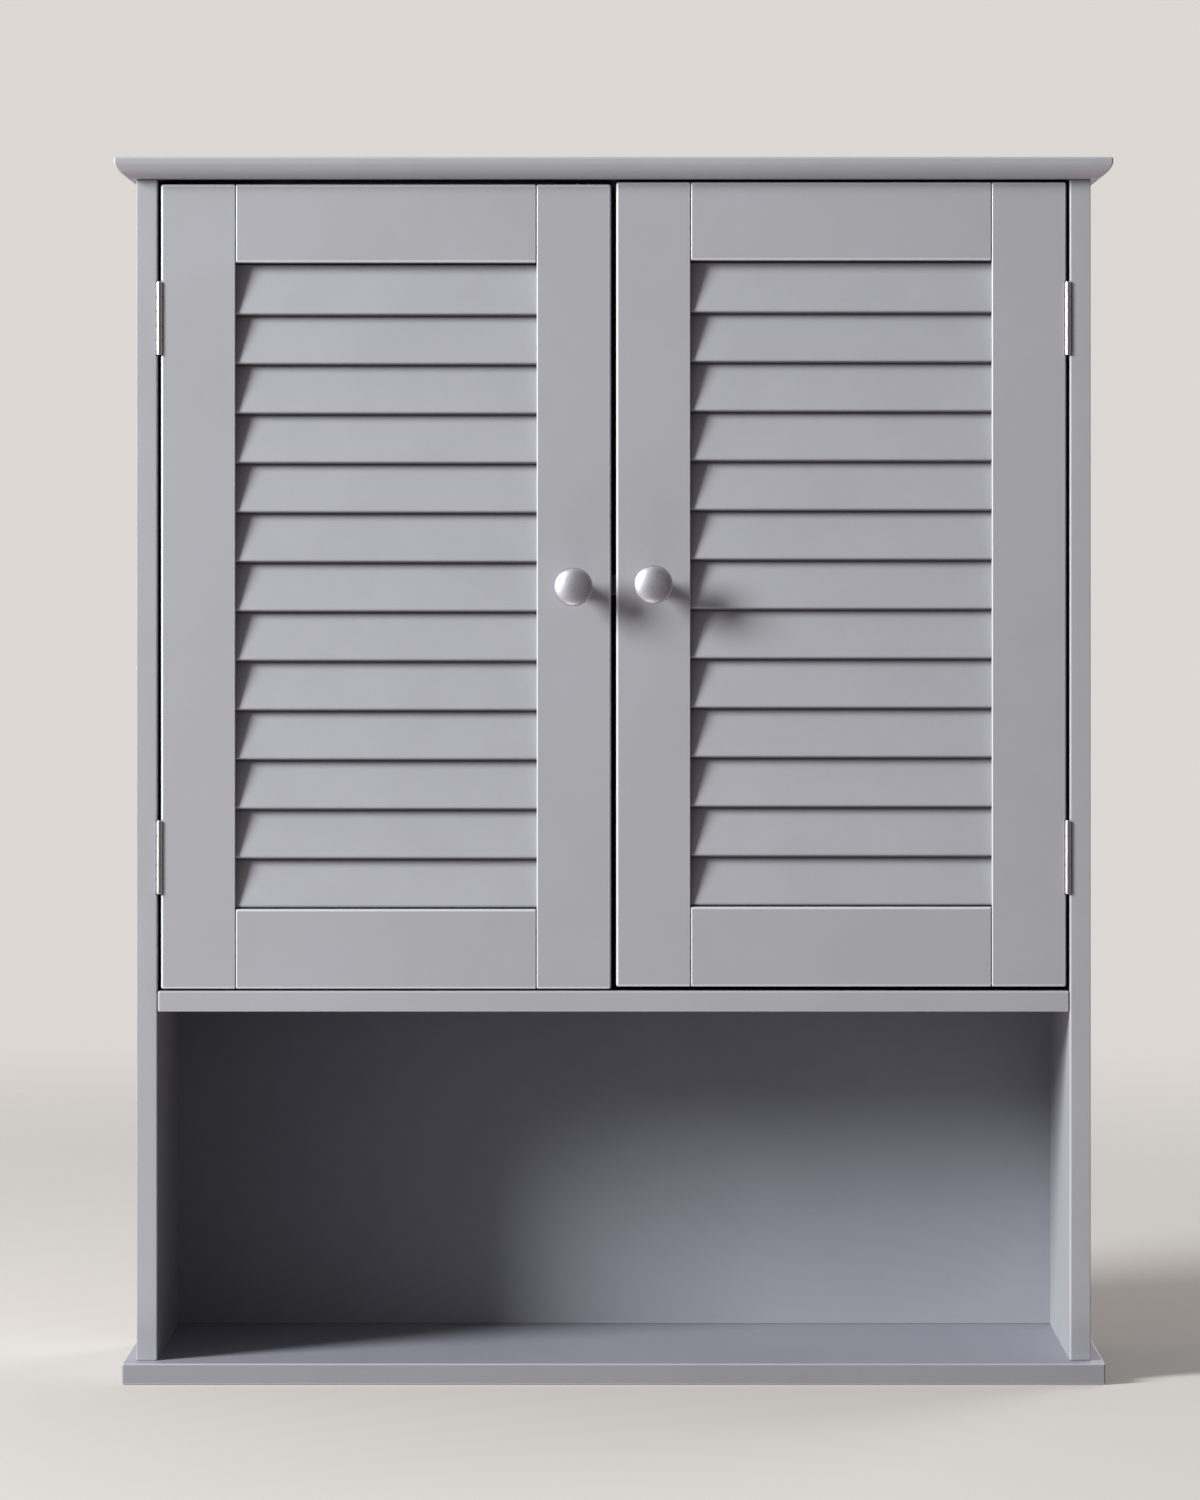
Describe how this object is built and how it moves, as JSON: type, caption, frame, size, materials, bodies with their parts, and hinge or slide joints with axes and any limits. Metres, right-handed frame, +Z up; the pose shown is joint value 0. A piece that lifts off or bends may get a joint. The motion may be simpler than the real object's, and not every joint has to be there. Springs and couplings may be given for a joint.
{
  "type": "louvred door cabinet",
  "caption": "Wall-hung cabinet: louvred doors on butt hinges above an open bay, with a moulded top board, magnetic catches and an adjustable shelf inside.",
  "frame": {"origin": "on the wall plane, on the cabinet's centre line, midway between the hanging screws", "axes": "+X to the right as seen from the front, +Y into the wall, +Z up"},
  "size_m": [0.57, 0.2006, 0.7],
  "materials": {
    "carcass_board": "satin grey lacquer on fibreboard",
    "back_panel": "satin grey lacquer on thin fibreboard",
    "adjustable_shelf": "satin grey lacquer on fibreboard",
    "door_frame": "satin grey lacquer",
    "louvre_slat": "satin grey lacquer",
    "knob": "satin, fine brushed",
    "hinge": "nickel plated",
    "shelf_pin": "zinc plated",
    "magnetic_catch": "moulded white plastic with steel pole plates",
    "strike_plate": "zinc plated"
  },
  "bodies": {
    "cabinet": {"back_panel": "back_panel", "bottom_board": "carcass_board", "hanging_rail": "carcass_board", "left_lower_hinge_frame_leaf": "hinge", "left_magnetic_catch": "magnetic_catch", "left_side_panel": "carcass_board", "left_upper_hinge_frame_leaf": "hinge", "middle_shelf": "carcass_board", "right_lower_hinge_frame_leaf": "hinge", "right_magnetic_catch": "magnetic_catch", "right_side_panel": "carcass_board", "right_upper_hinge_frame_leaf": "hinge", "shelf_pin_left_front": "shelf_pin", "shelf_pin_left_rear": "shelf_pin", "shelf_pin_right_front": "shelf_pin", "shelf_pin_right_rear": "shelf_pin", "top_board": "carcass_board"},
    "left_door": {"left_door_bottom_rail": "door_frame", "left_door_hinge_stile": "door_frame", "left_door_knob": "knob", "left_door_meeting_stile": "door_frame", "left_door_slat_01": "louvre_slat", "left_door_slat_02": "louvre_slat", "left_door_slat_03": "louvre_slat", "left_door_slat_04": "louvre_slat", "left_door_slat_05": "louvre_slat", "left_door_slat_06": "louvre_slat", "left_door_slat_07": "louvre_slat", "left_door_slat_08": "louvre_slat", "left_door_slat_09": "louvre_slat", "left_door_slat_10": "louvre_slat", "left_door_slat_11": "louvre_slat", "left_door_slat_12": "louvre_slat", "left_door_slat_13": "louvre_slat", "left_door_strike_plate": "strike_plate", "left_door_top_rail": "door_frame", "left_lower_hinge_door_leaf": "hinge", "left_upper_hinge_door_leaf": "hinge"},
    "right_door": {"right_door_bottom_rail": "door_frame", "right_door_hinge_stile": "door_frame", "right_door_knob": "knob", "right_door_meeting_stile": "door_frame", "right_door_slat_01": "louvre_slat", "right_door_slat_02": "louvre_slat", "right_door_slat_03": "louvre_slat", "right_door_slat_04": "louvre_slat", "right_door_slat_05": "louvre_slat", "right_door_slat_06": "louvre_slat", "right_door_slat_07": "louvre_slat", "right_door_slat_08": "louvre_slat", "right_door_slat_09": "louvre_slat", "right_door_slat_10": "louvre_slat", "right_door_slat_11": "louvre_slat", "right_door_slat_12": "louvre_slat", "right_door_slat_13": "louvre_slat", "right_door_strike_plate": "strike_plate", "right_door_top_rail": "door_frame", "right_lower_hinge_door_leaf": "hinge", "right_upper_hinge_door_leaf": "hinge"},
    "adjustable_shelf": {"adjustable_shelf": "adjustable_shelf"}
  },
  "joints": [
    {"name": "left_door_swing", "type": "hinge", "parent": "cabinet", "child": "left_door", "pos_m": [-0.26, -0.176, -0.20225], "axis": [0, 0, -1], "range_deg": [0, 170]},
    {"name": "right_door_swing", "type": "hinge", "parent": "cabinet", "child": "right_door", "pos_m": [0.26, -0.176, -0.20225], "axis": [0, 0, 1], "range_deg": [0, 170]},
    {"name": "shelf_lift", "type": "slide", "parent": "cabinet", "child": "adjustable_shelf", "axis": [0, 0, 1], "range_m": [0, 0.03]}
  ]
}
